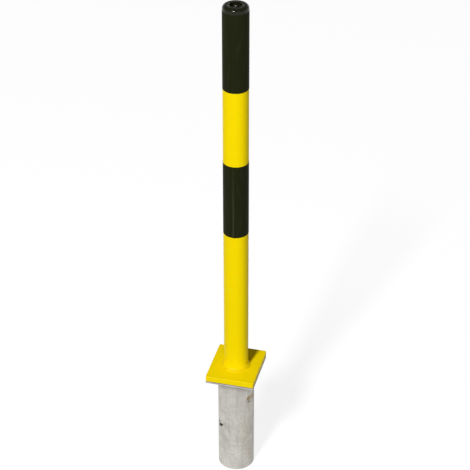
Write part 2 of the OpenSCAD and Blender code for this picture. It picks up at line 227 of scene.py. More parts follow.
paper = bpy.data.materials.new("white_paper")
paper.use_nodes = True
paper.node_tree.nodes.clear()
paper_glow = add_node(
    paper.node_tree,
    "ShaderNodeMath",
    {0: seen_directly(paper.node_tree), 1: PAPER_GLOW},
    operation="MULTIPLY",
)
paper_light = add_node(
    paper.node_tree, "ShaderNodeEmission", {"Strength": paper_glow.outputs[0]}
)
paper_surface = add_node(
    paper.node_tree, "ShaderNodeBsdfDiffuse", {"Color": (*3 * (PAPER_ALBEDO,), 1.0)}
)
paper_sum = add_node(
    paper.node_tree,
    "ShaderNodeAddShader",
    {0: paper_light.outputs[0], 1: paper_surface.outputs[0]},
)
add_node(paper.node_tree, "ShaderNodeOutputMaterial", {"Surface": paper_sum.outputs[0]})


def surface(name, points, material, wrap_rows=False, wrap_columns=False, crease=35.0):
    """Skins a grid of points, an array of rows x columns x 3. Each quad joins rows i and i + 1 and
    columns j and j + 1, counted round where that direction is wrapped. Points that fall together,
    as at a pole, are merged, and edges sharper than the crease angle stay sharp."""
    rows, columns = points.shape[:2]
    corner = np.arange(rows * columns).reshape(rows, columns)
    if wrap_rows:
        corner = np.vstack([corner, corner[:1]])
    if wrap_columns:
        corner = np.hstack([corner, corner[:, :1]])
    quads = np.stack(
        [corner[:-1, :-1], corner[:-1, 1:], corner[1:, 1:], corner[1:, :-1]], axis=-1
    )
    mesh = bpy.data.meshes.new(name)
    mesh.from_pydata(points.reshape(-1, 3).tolist(), [], quads.reshape(-1, 4).tolist())
    shape = bmesh.new()
    shape.from_mesh(mesh)
    bmesh.ops.remove_doubles(shape, verts=shape.verts, dist=1e-6)
    bmesh.ops.recalc_face_normals(shape, faces=shape.faces)
    shape.to_mesh(mesh)
    shape.free()
    mesh.shade_smooth()
    mesh.set_sharp_from_angle(angle=math.radians(crease))
    mesh.materials.append(material)
    piece = bpy.data.objects.new(name, mesh)
    bpy.context.scene.collection.objects.link(piece)
    return piece


edge = np.linspace(-FLOOR_HALF_WIDTH, FLOOR_HALF_WIDTH, 2)
floor_x, floor_y = np.meshgrid(edge, edge)
floor_z = np.full_like(floor_x, cad_box[0].z - FLOOR_DROP)
floor = surface("paper_floor", np.stack([floor_x, floor_y, floor_z], axis=-1), paper)


# Ground sleeve. A length of steel tube that is set in the footing, with a plate, a guide ring and
# two keepers welded to it. All of it was dipped in molten zinc after welding, so it is a dull,
# pale grey with broad blotches, small crystals and runs.
MM = 0.001
SLEEVE_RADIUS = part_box("sleeve_tube")[1].x
PEG_TURN, PEG_HEIGHT = 58.0, -65.0
ZINC_PALE, ZINC_MID, ZINC_DARK = "#d5d2cb", "#c2bfb8", "#a5a298"
BLOTCH_SIZE = 40 * MM
CRYSTAL_SIZE = 6 * MM
RUN_WIDTH = 5 * MM
RUN_STRETCH = 0.10
LUMP_SIZE = 3.5 * MM
LUMP_HEIGHT = 0.12 * MM
ZINC_METAL = 0.55
ZINC_ROUGHNESS, ROUGHNESS_SPREAD = 0.52, 0.08
JOINT_GRIME_AND_SHADE = "#77726a"
RAGGED_SIZE = 3 * MM
MARK_DEPTH = 12 * MM
# Marks on the sleeve's wall, two of them painted shade: turn from the front towards +X, height
# in mm, tilt in degrees, half length and half height in mm, softness of the edge, strength, colour
SLEEVE_MARKS_AND_SHADE = [
    (PEG_TURN + 5, PEG_HEIGHT, 0, 11.0, 8.5, 0.45, 0.75, "#ad9875"),
    # Painted shadow under the weld bead round the peg's end
    (PEG_TURN + 2, PEG_HEIGHT - 10.5, 0, 5.5, 2.4, 0.50, 0.85, "#5d5a4a"),
    (PEG_TURN, PEG_HEIGHT - 26, 0, 3.5, 16.0, 0.80, 0.30, "#a08a62"),
    (82, -67.0, 0, 5.0, 9.0, 0.60, 0.75, "#9c8556"),
    (-45.0, -157.3, -33, 11.0, 4.2, 0.30, 1.00, "#0c0b0a"),
    (-53.5, -150.5, 19, 5.4, 2.9, 0.30, 1.00, "#11100e"),
    (65, -178.0, -48, 17.0, 1.8, 0.60, 0.50, "#8c8674"),
    (20, -210.0, 2, 16.0, 1.4, 0.70, 0.50, "#8f8c82"),
    (-13, -226.0, 2, 20.0, 1.3, 0.80, 0.40, "#918e84"),
    (-8, -166.0, 75, 14.0, 3.0, 0.90, 0.30, "#98948a"),
    (60, -240.0, 84, 22.0, 8.0, 0.90, 0.34, "#b39b84"),
    (40, -168.0, 88, 40.0, 12.0, 0.90, 0.30, "#b3ab92"),
    # Painted shade on the wall just under the plates
    (5, -24.0, 0, 70.0, 24.0, 0.90, 0.30, "#a9a69d"),
    (-5, -268.0, 0, 70.0, 40.0, 0.90, 0.30, "#dedbd4"),
]


def linear(code):
    """sRGB hex colour as linear red, green, blue and alpha."""
    srgb = np.array([int(code[i : i + 2], 16) for i in (1, 3, 5)]) / 255
    low = srgb / 12.92
    high = ((srgb + 0.055) / 1.055) ** 2.4
    return (*np.where(srgb <= 0.04045, low, high).tolist(), 1.0)


def new_material(name):
    """An empty material: gives it with its node tree, its shader and its Object coordinates."""
    material = bpy.data.materials.new(name)
    material.use_nodes = True
    tree = material.node_tree
    place = add_node(tree, "ShaderNodeTexCoord", {}).outputs["Object"]
    return material, tree, tree.nodes["Principled BSDF"], place


def finish(material, *names):
    """Gives CAD nodes their material."""
    for name in names:
        for slot in nodes[name].material_slots:
            slot.material = material


zinc, tree, shader, place = new_material("hot_dip_galvanised_zinc")
blotches = add_node(
    tree,
    "ShaderNodeTexNoise",
    {"Vector": place, "Scale": 1 / BLOTCH_SIZE, "Detail": 6.0, "Roughness": 0.62},
)
blotch_share = add_node(
    tree,
    "ShaderNodeMapRange",
    {"Value": blotches.outputs[0], "From Min": 0.39, "From Max": 0.61},
)
zinc_colour = add_node(
    tree,
    "ShaderNodeMix",
    {0: blotch_share.outputs[0], 6: linear(ZINC_MID), 7: linear(ZINC_PALE)},
    data_type="RGBA",
).outputs[2]
crystals = add_node(
    tree, "ShaderNodeTexVoronoi", {"Vector": place, "Scale": 1 / CRYSTAL_SIZE}
)
crystal_tone = add_node(
    tree, "ShaderNodeSeparateColor", {"Color": crystals.outputs["Color"]}
)
crystal_share = add_node(
    tree,
    "ShaderNodeMapRange",
    {"Value": crystal_tone.outputs[0], "To Max": 0.28},
)
zinc_colour = add_node(
    tree,
    "ShaderNodeMix",
    {0: crystal_share.outputs[0], 6: zinc_colour, 7: linear(ZINC_DARK)},
    data_type="RGBA",
).outputs[2]
along = add_node(
    tree, "ShaderNodeMapping", {"Vector": place, "Scale": (1.0, 1.0, RUN_STRETCH)}
)
runs = add_node(
    tree,
    "ShaderNodeTexNoise",
    {"Vector": along.outputs[0], "Scale": 1 / RUN_WIDTH, "Detail": 3.0},
)
run_share = add_node(
    tree,
    "ShaderNodeMapRange",
    {"Value": runs.outputs[0], "From Min": 0.50, "From Max": 0.72, "To Max": 0.45},
)
zinc_colour = add_node(
    tree,
    "ShaderNodeMix",
    {0: run_share.outputs[0], 6: zinc_colour, 7: linear(ZINC_DARK)},
    data_type="RGBA",
).outputs[2]
ragged = add_node(
    tree, "ShaderNodeTexNoise", {"Vector": place, "Scale": 1 / RAGGED_SIZE, "Detail": 3.0}
)
ragged_shift = add_node(
    tree,
    "ShaderNodeVectorMath",
    {0: ragged.outputs["Color"], 1: 3 * (RAGGED_SIZE,), 2: place},
    operation="MULTIPLY_ADD",
)
for turn, height, tilt, half_length, half_height, soft, strength, colour in SLEEVE_MARKS_AND_SHADE:
    around = math.radians(turn)
    shift = RAGGED_SIZE / 2  # the noise is a half in the mean
    mark = add_node(
        tree,
        "ShaderNodeMapping",
        {
            "Vector": ragged_shift.outputs[0],
            "Location": (
                SLEEVE_RADIUS * math.sin(around) + shift,
                -SLEEVE_RADIUS * math.cos(around) + shift,
                height * MM + shift,
            ),
            "Rotation": (0.0, math.radians(tilt), around),
            "Scale": (half_length * MM, MARK_DEPTH, half_height * MM),
        },
        vector_type="TEXTURE",
    )
    far = add_node(
        tree, "ShaderNodeVectorMath", {0: mark.outputs[0]}, operation="LENGTH"
    )
    share = add_node(
        tree,
        "ShaderNodeMapRange",
        {
            "Value": far.outputs["Value"],
            "From Min": 1 - soft,
            "From Max": 1 + soft,
            "To Min": strength,
            "To Max": 0.0,
        },
    )
    zinc_colour = add_node(
        tree,
        "ShaderNodeMix",
        {0: share.outputs[0], 6: zinc_colour, 7: linear(colour)},
        data_type="RGBA",
    ).outputs[2]

# Grime and painted shade on the rim of the sleeve's plate, in the joint under the foot plate
plate_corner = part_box("sleeve_plate")[1]
plate_share = add_node(
    tree,
    "ShaderNodeVectorMath",
    {0: place, 1: (1 / plate_corner.x, 1 / plate_corner.y, 1 / plate_corner.z)},
    operation="MULTIPLY",
)
plate_share = add_node(
    tree, "ShaderNodeVectorMath", {0: plate_share.outputs[0]}, operation="ABSOLUTE"
)
plate_axes = add_node(tree, "ShaderNodeSeparateXYZ", {"Vector": plate_share.outputs[0]})
outermost = add_node(
    tree,
    "ShaderNodeMath",
    {0: plate_axes.outputs["X"], 1: plate_axes.outputs["Y"]},
    operation="MAXIMUM",
)
at_rim = add_node(
    tree,
    "ShaderNodeMapRange",
    {"Value": outermost.outputs[0], "From Min": 0.975, "From Max": 0.985},
)
under_post = add_node(
    tree,
    "ShaderNodeMapRange",
    {"Value": plate_axes.outputs["Z"], "From Min": 0.60, "From Max": 0.85},
)
grime_and_shade = add_node(
    tree,
    "ShaderNodeMath",
    {0: at_rim.outputs[0], 1: under_post.outputs[0]},
    operation="MULTIPLY",
)
zinc_colour = add_node(
    tree,
    "ShaderNodeMix",
    {0: grime_and_shade.outputs[0], 6: zinc_colour, 7: linear(JOINT_GRIME_AND_SHADE)},
    data_type="RGBA",
).outputs[2]
# The painted shade also dulls the metal there, so the rim shows no glint.
metal_share = add_node(
    tree,
    "ShaderNodeMapRange",
    {"Value": grime_and_shade.outputs[0], "To Min": ZINC_METAL, "To Max": 0.0},
)

lumps = add_node(
    tree, "ShaderNodeTexNoise", {"Vector": place, "Scale": 1 / LUMP_SIZE, "Detail": 2.0}
)
lump_bump = add_node(
    tree, "ShaderNodeBump", {"Height": lumps.outputs[0], "Distance": LUMP_HEIGHT}
)
run_bump = add_node(
    tree,
    "ShaderNodeBump",
    {
        "Height": runs.outputs[0],
        "Distance": 3 * LUMP_HEIGHT,
        "Normal": lump_bump.outputs[0],
    },
)
zinc_roughness = add_node(
    tree,
    "ShaderNodeMapRange",
    {
        "Value": crystal_tone.outputs[1],
        "To Min": ZINC_ROUGHNESS - ROUGHNESS_SPREAD,
        "To Max": ZINC_ROUGHNESS + ROUGHNESS_SPREAD,
    },
)
wire(
    tree,
    shader,
    {
        "Base Color": zinc_colour,
        "Metallic": metal_share.outputs[0],
        "Roughness": zinc_roughness.outputs[0],
        "Specular IOR Level": 0.2,
        "Normal": run_bump.outputs[0],
    },
)
finish(zinc, "sleeve_tube", "sleeve_plate", "guide_ring", "keeper_front", "keeper_back")


# Welds of the ground sleeve. The one under the plate fills the bevel on the tube's end and is
# ground flush with the wall. The keepers' fillets were laid in one pass with a wire-feed torch and
# show the crescents that it leaves. All were dipped in zinc with the rest.
BEVEL = 2.5 * MM
GRIND_PITCH = 7.0 * MM
GRIND_DEPTH = 0.25 * MM
TOE_GROOVE = 0.35 * MM
KEEPER_WELD_LEG, KEEPER_WELD_HOLLOW, KEEPER_RIPPLE = 4.0 * MM, 0.4, 0.30 * MM
RIPPLE_PITCH = 2.6 * MM
RIPPLE_POINTS, SECTION_POINTS = 8, 13
WELD_SINK = 0.3 * MM
KEEPER_SLOT_HALF = 12.0 * MM
SLEEVE_WALL = 3.0 * MM


def weld_bead(
    name, material, wall, face, leg, hollow, ripple, outwards, upwards, start, end, seed
):
    """A fillet weld in the corner between a round wall and a flat face. In section it runs from
    its toe on the face to its toe on the wall, at a distance from the corner of the leg over the
    sum of the angle's sine and cosine to the power of the hollow: 0 gives a quarter circle, 1 a
    straight line and more a hollow face. Along its path the leg wanders by a few slow waves, swells
    where the torch stopped, and rises in ripples whose crests are bowed back towards the toes. The
    two ends of an open bead taper as a half round."""
    full = end - start >= 2 * math.pi - 1e-6
    length = (end - start) * wall
    count = int(length / RIPPLE_PITCH) * RIPPLE_POINTS
    path = np.linspace(start, end, count, endpoint=not full)[None, :]
    across = np.linspace(0.0, 1.0, SECTION_POINTS)[:, None]
    wander = np.random.default_rng(seed).uniform(0, 2 * math.pi, 4)
    turns = (path - start) / (end - start) * 2 * math.pi
    sway = sum(np.sin(turns * wave + wander[i]) for i, wave in enumerate((2, 5, 9, 14)))
    stop = np.exp(-(((turns - 5.9) / 0.12) ** 2))
    size = leg * (0.94 + 0.02 * sway + 0.10 * stop)
    phase = (path - start) * wall / RIPPLE_PITCH + 0.9 * (2 * across - 1) ** 2
    crest = np.abs(np.sin(math.pi * phase)) ** 0.7
    swell = np.sin(math.pi * across) ** 0.6
    along_face = np.cos(across * math.pi / 2)
    along_wall = np.sin(across * math.pi / 2)
    reach = size * (along_face + along_wall) ** -hollow + ripple * (crest - 0.5) * swell
    side, rise = reach * along_face, reach * along_wall
    sunk = np.full_like(size, -WELD_SINK)
    side = np.vstack([sunk, size, side, sunk])
    rise = np.vstack([sunk, sunk, rise, size])
    if not full:
        from_end = np.minimum(path - start, end - path) * wall
        taper = np.sqrt(1 - np.clip(1 - from_end / leg, 0, 1) ** 2)
        side, rise = side * taper, rise * taper
    radius = wall + outwards * side
    points = np.stack(
        [radius * np.sin(path), -radius * np.cos(path), face + upwards * rise], axis=-1
    )
    return surface(name, points, material, wrap_rows=True, wrap_columns=full)


def ground_weld(columns=360):
    """The weld in the sleeve's bevel: a ring with a three-cornered section. Its outer face lies
    inside the sleeve's radius by a shallow scallop for each stroke of the grinder, the even part of
    a sine along the arc that slants with the height, and by a narrow groove at its toe."""
    around = np.linspace(0, 2 * math.pi, columns, endpoint=False)[None, :]
    down = np.array([0.0, 0.12, 0.35, 0.6, 0.82, 0.94, 1.0])[:, None]
    strokes = round(2 * math.pi * SLEEVE_RADIUS / GRIND_PITCH)
    scallop = (0.5 + 0.5 * np.sin(strokes * around + 5 * down)) ** 2
    toe = np.exp(-(((down - 0.94) / 0.06) ** 2))
    face = SLEEVE_RADIUS - GRIND_DEPTH * scallop * np.sin(math.pi * down) - TOE_GROOVE * toe
    root = np.full_like(face[:1], SLEEVE_RADIUS - BEVEL)
    radius = np.vstack([root, face])
    height = np.vstack([0 * root, -BEVEL * down + 0 * face])
    return np.stack([radius * np.sin(around), -radius * np.cos(around), height], axis=-1)


sleeve_weld_ring = surface(
    "sleeve_weld_ring", ground_weld(), zinc, wrap_rows=True, wrap_columns=True
)
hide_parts("sleeve_weld")
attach(sleeve_weld_ring, "ground_sleeve")

sleeve_bore = SLEEVE_RADIUS - SLEEVE_WALL
keeper_gap = math.asin(KEEPER_SLOT_HALF / sleeve_bore)
keeper_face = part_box("keeper_front")[0].z
for name, middle, seed in (("front", 0.0, 12), ("back", math.pi, 13)):
    bead = weld_bead(
        f"keeper_weld_bead_{name}",
        zinc,
        wall=sleeve_bore,
        face=keeper_face,
        leg=KEEPER_WELD_LEG,
        hollow=KEEPER_WELD_HOLLOW,
        ripple=KEEPER_RIPPLE,
        outwards=-1,
        upwards=-1,
        start=middle - math.pi / 2 + keeper_gap,
        end=middle + math.pi / 2 - keeper_gap,
        seed=seed,
    )
    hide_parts("keeper_welds")
    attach(bead, "ground_sleeve")


# Post tube and foot plate. The steel tube is welded into the foot plate, and both were blasted and
# powder-coated together: a hard, even yellow with the fine dimples of orange peel, scraped along
# the part of the tube that drops into the sleeve, and darker in the corner of the weld, where dust
# and painted shade lie.
POWDER_YELLOW, POWDER_WARM, POWDER_LEMON = "#f6d902", "#f0c90a", "#ecdf10"
SCRAPED_STEEL = "#8d8c86"
PEEL_SIZE = 1.8 * MM
PEEL_HEIGHT = 0.030 * MM
CLOUD_SIZE = 22 * MM
SCRAPE_WIDTH = 1.2 * MM
SCRAPE_STRETCH = 0.02
SCRAPE_TOP = -12 * MM
TUBE_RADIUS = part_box("post_tube")[1].x
FOOT_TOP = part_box("foot_plate")[1].z
CORNER_DUST_AND_SHADE, CORNER_SHADE_LEVEL = "#d2b408", 0.70
CORNER_OUT_FROM, CORNER_OUT_TO = TUBE_RADIUS + 4 * MM, TUBE_RADIUS + 9 * MM
CORNER_UP_FROM, CORNER_UP_TO = FOOT_TOP + 3 * MM, FOOT_TOP + 8 * MM

powder_coat, tree, shader, place = new_material("yellow_powder_coat_on_steel")
clouds = add_node(
    tree, "ShaderNodeTexNoise", {"Vector": place, "Scale": 1 / CLOUD_SIZE, "Detail": 3.0}
)
warm_share = add_node(
    tree,
    "ShaderNodeMapRange",
    {"Value": clouds.outputs[0], "From Min": 0.50, "From Max": 0.80, "To Max": 0.25},
)
lemon_share = add_node(
    tree,
    "ShaderNodeMapRange",
    {"Value": clouds.outputs[0], "From Min": 0.46, "From Max": 0.20, "To Max": 0.5},
)
powder_colour = add_node(
    tree,
    "ShaderNodeMix",
    {0: warm_share.outputs[0], 6: linear(POWDER_YELLOW), 7: linear(POWDER_WARM)},
    data_type="RGBA",
)
powder_colour = add_node(
    tree,
    "ShaderNodeMix",
    {0: lemon_share.outputs[0], 6: powder_colour.outputs[2], 7: linear(POWDER_LEMON)},
    data_type="RGBA",
)
lengthwise = add_node(
    tree, "ShaderNodeMapping", {"Vector": place, "Scale": (1.0, 1.0, SCRAPE_STRETCH)}
)
scrapes = add_node(
    tree,
    "ShaderNodeTexNoise",
    {"Vector": lengthwise.outputs[0], "Scale": 1 / SCRAPE_WIDTH, "Detail": 2.0},
)
height = add_node(tree, "ShaderNodeSeparateXYZ", {"Vector": place})
depth_share = add_node(
    tree,
    "ShaderNodeMapRange",
    {
        "Value": height.outputs["Z"],
        "From Min": SCRAPE_TOP,
        "From Max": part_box("post_tube")[0].z,
        "To Max": 0.16,
    },
)
scrape_level = add_node(
    tree,
    "ShaderNodeMath",
    {0: scrapes.outputs[0], 1: depth_share.outputs[0]},
    operation="ADD",
)
scrape_share = add_node(
    tree,
    "ShaderNodeMapRange",
    {"Value": scrape_level.outputs[0], "From Min": 0.74, "From Max": 0.78},
)
below_ground = add_node(
    tree,
    "ShaderNodeMath",
    {0: height.outputs["Z"], 1: SCRAPE_TOP},
    operation="LESS_THAN",
)
scraped = add_node(
    tree,
    "ShaderNodeMath",
    {0: scrape_share.outputs[0], 1: below_ground.outputs[0]},
    operation="MULTIPLY",
)
powder_colour = add_node(
    tree,
    "ShaderNodeMix",
    {0: scraped.outputs[0], 6: powder_colour.outputs[2], 7: linear(SCRAPED_STEEL)},
    data_type="RGBA",
)
# Dust and painted shade: a darker yellow in the corner where the tube meets the foot plate
across_axis = add_node(
    tree, "ShaderNodeVectorMath", {0: place, 1: (1.0, 1.0, 0.0)}, operation="MULTIPLY"
)
from_axis = add_node(
    tree, "ShaderNodeVectorMath", {0: across_axis.outputs[0]}, operation="LENGTH"
)
near_tube = add_node(
    tree,
    "ShaderNodeMapRange",
    {
        "Value": from_axis.outputs["Value"],
        "From Min": CORNER_OUT_FROM,
        "From Max": CORNER_OUT_TO,
        "To Min": 1.0,
        "To Max": 0.0,
    },
)
near_plate = add_node(
    tree,
    "ShaderNodeMapRange",
    {
        "Value": height.outputs["Z"],
        "From Min": CORNER_UP_FROM,
        "From Max": CORNER_UP_TO,
        "To Min": CORNER_SHADE_LEVEL,
        "To Max": 0.0,
    },
)
above_plate = add_node(
    tree,
    "ShaderNodeMath",
    {0: height.outputs["Z"], 1: FOOT_TOP - 0.5 * MM},
    operation="GREATER_THAN",
)
corner = add_node(
    tree,
    "ShaderNodeMath",
    {0: near_tube.outputs[0], 1: near_plate.outputs[0]},
    operation="MULTIPLY",
)
dust_and_shade = add_node(
    tree,
    "ShaderNodeMath",
    {0: corner.outputs[0], 1: above_plate.outputs[0]},
    operation="MULTIPLY",
)
powder_colour = add_node(
    tree,
    "ShaderNodeMix",
    {0: dust_and_shade.outputs[0], 6: powder_colour.outputs[2], 7: linear(CORNER_DUST_AND_SHADE)},
    data_type="RGBA",
)
peel = add_node(
    tree, "ShaderNodeTexNoise", {"Vector": place, "Scale": 1 / PEEL_SIZE, "Detail": 1.0}
)
peel_bump = add_node(
    tree, "ShaderNodeBump", {"Height": peel.outputs[0], "Distance": PEEL_HEIGHT}
)
wire(
    tree,
    shader,
    {
        "Base Color": powder_colour.outputs[2],
        "Roughness": 0.36,
        "Specular IOR Level": 0.03,
        "Normal": peel_bump.outputs[0],
    },
)
finish(powder_coat, "post_tube", "foot_plate")


# Weld between the tube and the foot plate, in the corner all round, under the same powder coat,
# which fills its ripples a little.
FOOT_WELD_LEG, FOOT_WELD_HOLLOW, FOOT_RIPPLE = 7.0 * MM, 1.3, 0.12 * MM

foot_weld_bead = weld_bead(
    "foot_weld_bead",
    powder_coat,
    wall=TUBE_RADIUS,
    face=FOOT_TOP,
    leg=FOOT_WELD_LEG,
    hollow=FOOT_WELD_HOLLOW,
    ripple=FOOT_RIPPLE,
    outwards=1,
    upwards=1,
    start=0,
    end=2 * math.pi,
    seed=21,
)
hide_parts("foot_weld")
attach(foot_weld_bead, "post")


# Locating peg. A round bar that was driven through the sleeve's wall and welded round its end
# before the dip. The end was ground back later, so it is bare steel with a dry, pale rust, in a
# ring of zinc.
RUST_DARK, RUST_MID, RUST_PALE = "#86775f", "#a99678", "#bba98a"
PEG_RADIUS = 6.0 * MM
PEG_BEAD_WIDTH = 2.4 * MM
PEG_BEAD_HEIGHT = 0.9 * MM
PEG_BEAD_SINK = 0.4 * MM
SCALE_SIZE, SCALE_HEIGHT, BLOOM_SIZE = 2 * MM, 0.2 * MM, 5 * MM

rust, tree, shader, place = new_material("bare_steel_with_rust")
scale = add_node(
    tree, "ShaderNodeTexNoise", {"Vector": place, "Scale": 1 / SCALE_SIZE, "Detail": 5.0}
)
scale_share = add_node(
    tree,
    "ShaderNodeMapRange",
    {"Value": scale.outputs[0], "From Min": 0.35, "From Max": 0.65},
)
rust_colour = add_node(
    tree,
    "ShaderNodeMix",
    {0: scale_share.outputs[0], 6: linear(RUST_DARK), 7: linear(RUST_MID)},
    data_type="RGBA",
)
bloom = add_node(
    tree, "ShaderNodeTexNoise", {"Vector": place, "Scale": 1 / BLOOM_SIZE, "Detail": 4.0}
)
bloom_share = add_node(
    tree,
    "ShaderNodeMapRange",
    {"Value": bloom.outputs[0], "From Min": 0.45, "From Max": 0.62},
)
rust_colour = add_node(
    tree,
    "ShaderNodeMix",
    {0: bloom_share.outputs[0], 6: rust_colour.outputs[2], 7: linear(RUST_PALE)},
    data_type="RGBA",
)
rust_bump = add_node(
    tree, "ShaderNodeBump", {"Height": scale.outputs[0], "Distance": SCALE_HEIGHT}
)
wire(
    tree,
    shader,
    {
        "Base Color": rust_colour.outputs[2],
        "Roughness": 0.85,
        "Specular IOR Level": 0.2,
        "Normal": rust_bump.outputs[0],
    },
)
finish(rust, "locating_peg")


def peg_bead(count=96, section=9):
    """A ring of weld round the peg's end, on the round wall of the sleeve. Its path is a circle
    wrapped on the wall. Its section is a low half ellipse that starts and ends inside the wall, and
    its height has a few uneven waves."""
    path = np.linspace(0, 2 * math.pi, count, endpoint=False)[None, :]
    across = np.linspace(0, math.pi, section)[:, None]
    uneven = 1 + 0.18 * np.sin(7 * path + 0.6) + 0.12 * np.sin(12 * path)
    width = PEG_BEAD_WIDTH * (0.5 - 0.5 * np.cos(across)) * (1 + 0.12 * np.sin(5 * path))
    ring = PEG_RADIUS - PEG_BEAD_SINK + width
    height = PEG_BEAD_HEIGHT * np.sin(across) * uneven - PEG_BEAD_SINK
    sideways = ring * np.cos(path)
    around = math.radians(PEG_TURN) + sideways / SLEEVE_RADIUS
    radius = SLEEVE_RADIUS + height
    return np.stack(
        [
            radius * np.sin(around),
            -radius * np.cos(around),
            PEG_HEIGHT * MM + ring * np.sin(path),
        ],
        axis=-1,
    )


peg_weld_bead = surface(
    "peg_weld_bead", peg_bead(), zinc, wrap_rows=True, wrap_columns=True
)
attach(peg_weld_bead, "ground_sleeve")


# Black bands. Self-adhesive vinyl film, satin black with faint scuffs, wound once round the tube.
# Its end lies over its start with a small step, at the back of the upper band and near the front
# of the lower one, where a pale stripe along the step is a painted highlight.
FILM_BLACK, FILM_SCUFF, FILM_SEAM_SHEEN = "#212312", "#2c2e1f", "#5a5b48"
FILM_THICKNESS = 0.3 * MM
FILM_OVERLAP = 12 * MM
FILM_BRIDGE = 2.5 * MM
FILM_RISE = 0.5 * MM
FILM_SEAMS = {"upper_band": 168.0, "lower_band": 2.3}  # turn from the front towards +X
FILM_POINTS = 240
CUT_ROUND = 0.05 * MM
SCUFF_SIZE, SCUFF_STRETCH = 7 * MM, 0.15
GRAIN_SIZE, GRAIN_HEIGHT = 1.4 * MM, 0.02 * MM
BUBBLE_SPACING, BUBBLE_HEIGHT = 26 * MM, 0.25 * MM
SHEEN_WIDTH, SHEEN_DEPTH = 5.6 * MM, 8 * MM

film, tree, shader, place = new_material("black_vinyl_film")
scuffs = add_node(
    tree, "ShaderNodeMapping", {"Vector": place, "Scale": (1.0, 1.0, SCUFF_STRETCH)}
)
scuff_noise = add_node(
    tree,
    "ShaderNodeTexNoise",
    {"Vector": scuffs.outputs[0], "Scale": 1 / SCUFF_SIZE, "Detail": 4.0},
)
scuff_share = add_node(
    tree,
    "ShaderNodeMapRange",
    {"Value": scuff_noise.outputs[0], "From Min": 0.52, "From Max": 0.75, "To Max": 0.6},
)
film_colour = add_node(
    tree,
    "ShaderNodeMix",
    {0: scuff_share.outputs[0], 6: linear(FILM_BLACK), 7: linear(FILM_SCUFF)},
    data_type="RGBA",
)
# Painted highlight: a pale stripe along the step of the lower band's seam, fainter towards the top
seam_low, seam_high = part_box("lower_band")
seam_turn = math.radians(FILM_SEAMS["lower_band"])
seam_line = add_node(
    tree,
    "ShaderNodeMapping",
    {
        "Vector": place,
        "Location": (
            seam_high.x * math.sin(seam_turn),
            -seam_high.x * math.cos(seam_turn),
            (seam_low.z + seam_high.z) / 2,
        ),
        "Rotation": (0.0, 0.0, seam_turn),
        "Scale": (SHEEN_WIDTH / 2, SHEEN_DEPTH, (seam_high.z - seam_low.z) / 2),
    },
    vector_type="TEXTURE",
)
from_seam = add_node(
    tree, "ShaderNodeVectorMath", {0: seam_line.outputs[0]}, operation="ABSOLUTE"
)
seam_axes = add_node(tree, "ShaderNodeSeparateXYZ", {"Vector": from_seam.outputs[0]})
near_seam = add_node(
    tree,
    "ShaderNodeMapRange",
    {"Value": seam_axes.outputs["X"], "To Min": 1.0, "To Max": 0.0},
)
up_seam = add_node(tree, "ShaderNodeSeparateXYZ", {"Vector": seam_line.outputs[0]})
sheen_level = add_node(
    tree,
    "ShaderNodeMapRange",
    {
        "Value": up_seam.outputs["Z"],
        "From Min": -0.4,
        "From Max": 0.8,
        "To Min": 0.30,
        "To Max": 0.10,
    },
)
near_seam = add_node(
    tree,
    "ShaderNodeMath",
    {0: near_seam.outputs[0], 1: sheen_level.outputs[0]},
    operation="MULTIPLY",
)
in_band = add_node(
    tree, "ShaderNodeMath", {0: seam_axes.outputs["Y"], 1: 1.0}, operation="LESS_THAN"
)
at_height = add_node(
    tree, "ShaderNodeMath", {0: seam_axes.outputs["Z"], 1: 1.0}, operation="LESS_THAN"
)
sheen_area = add_node(
    tree,
    "ShaderNodeMath",
    {0: in_band.outputs[0], 1: at_height.outputs[0]},
    operation="MULTIPLY",
)
sheen_share = add_node(
    tree,
    "ShaderNodeMath",
    {0: near_seam.outputs[0], 1: sheen_area.outputs[0]},
    operation="MULTIPLY",
)
film_colour = add_node(
    tree,
    "ShaderNodeMix",
    {0: sheen_share.outputs[0], 6: film_colour.outputs[2], 7: linear(FILM_SEAM_SHEEN)},
    data_type="RGBA",
)
grain = add_node(
    tree, "ShaderNodeTexNoise", {"Vector": place, "Scale": 1 / GRAIN_SIZE, "Detail": 2.0}
)
grain_bump = add_node(
    tree, "ShaderNodeBump", {"Height": grain.outputs[0], "Distance": GRAIN_HEIGHT}
)
bubbles = add_node(
    tree, "ShaderNodeTexVoronoi", {"Vector": place, "Scale": 1 / BUBBLE_SPACING}
)
bubble_height = add_node(
    tree,
    "ShaderNodeMapRange",
    {
        "Value": bubbles.outputs["Distance"],
        "From Max": 0.09,
        "To Min": 1.0,
        "To Max": 0.0,
    },
    interpolation_type="SMOOTHSTEP",
)
bubble_bump = add_node(
    tree,
    "ShaderNodeBump",
    {
        "Height": bubble_height.outputs[0],
        "Distance": BUBBLE_HEIGHT,
        "Normal": grain_bump.outputs[0],
    },
)
wire(
    tree,
    shader,
    {
        "Base Color": film_colour.outputs[2],
        "Roughness": 0.45,
        "Specular IOR Level": 0.015,
        "Normal": bubble_bump.outputs[0],
    },
)


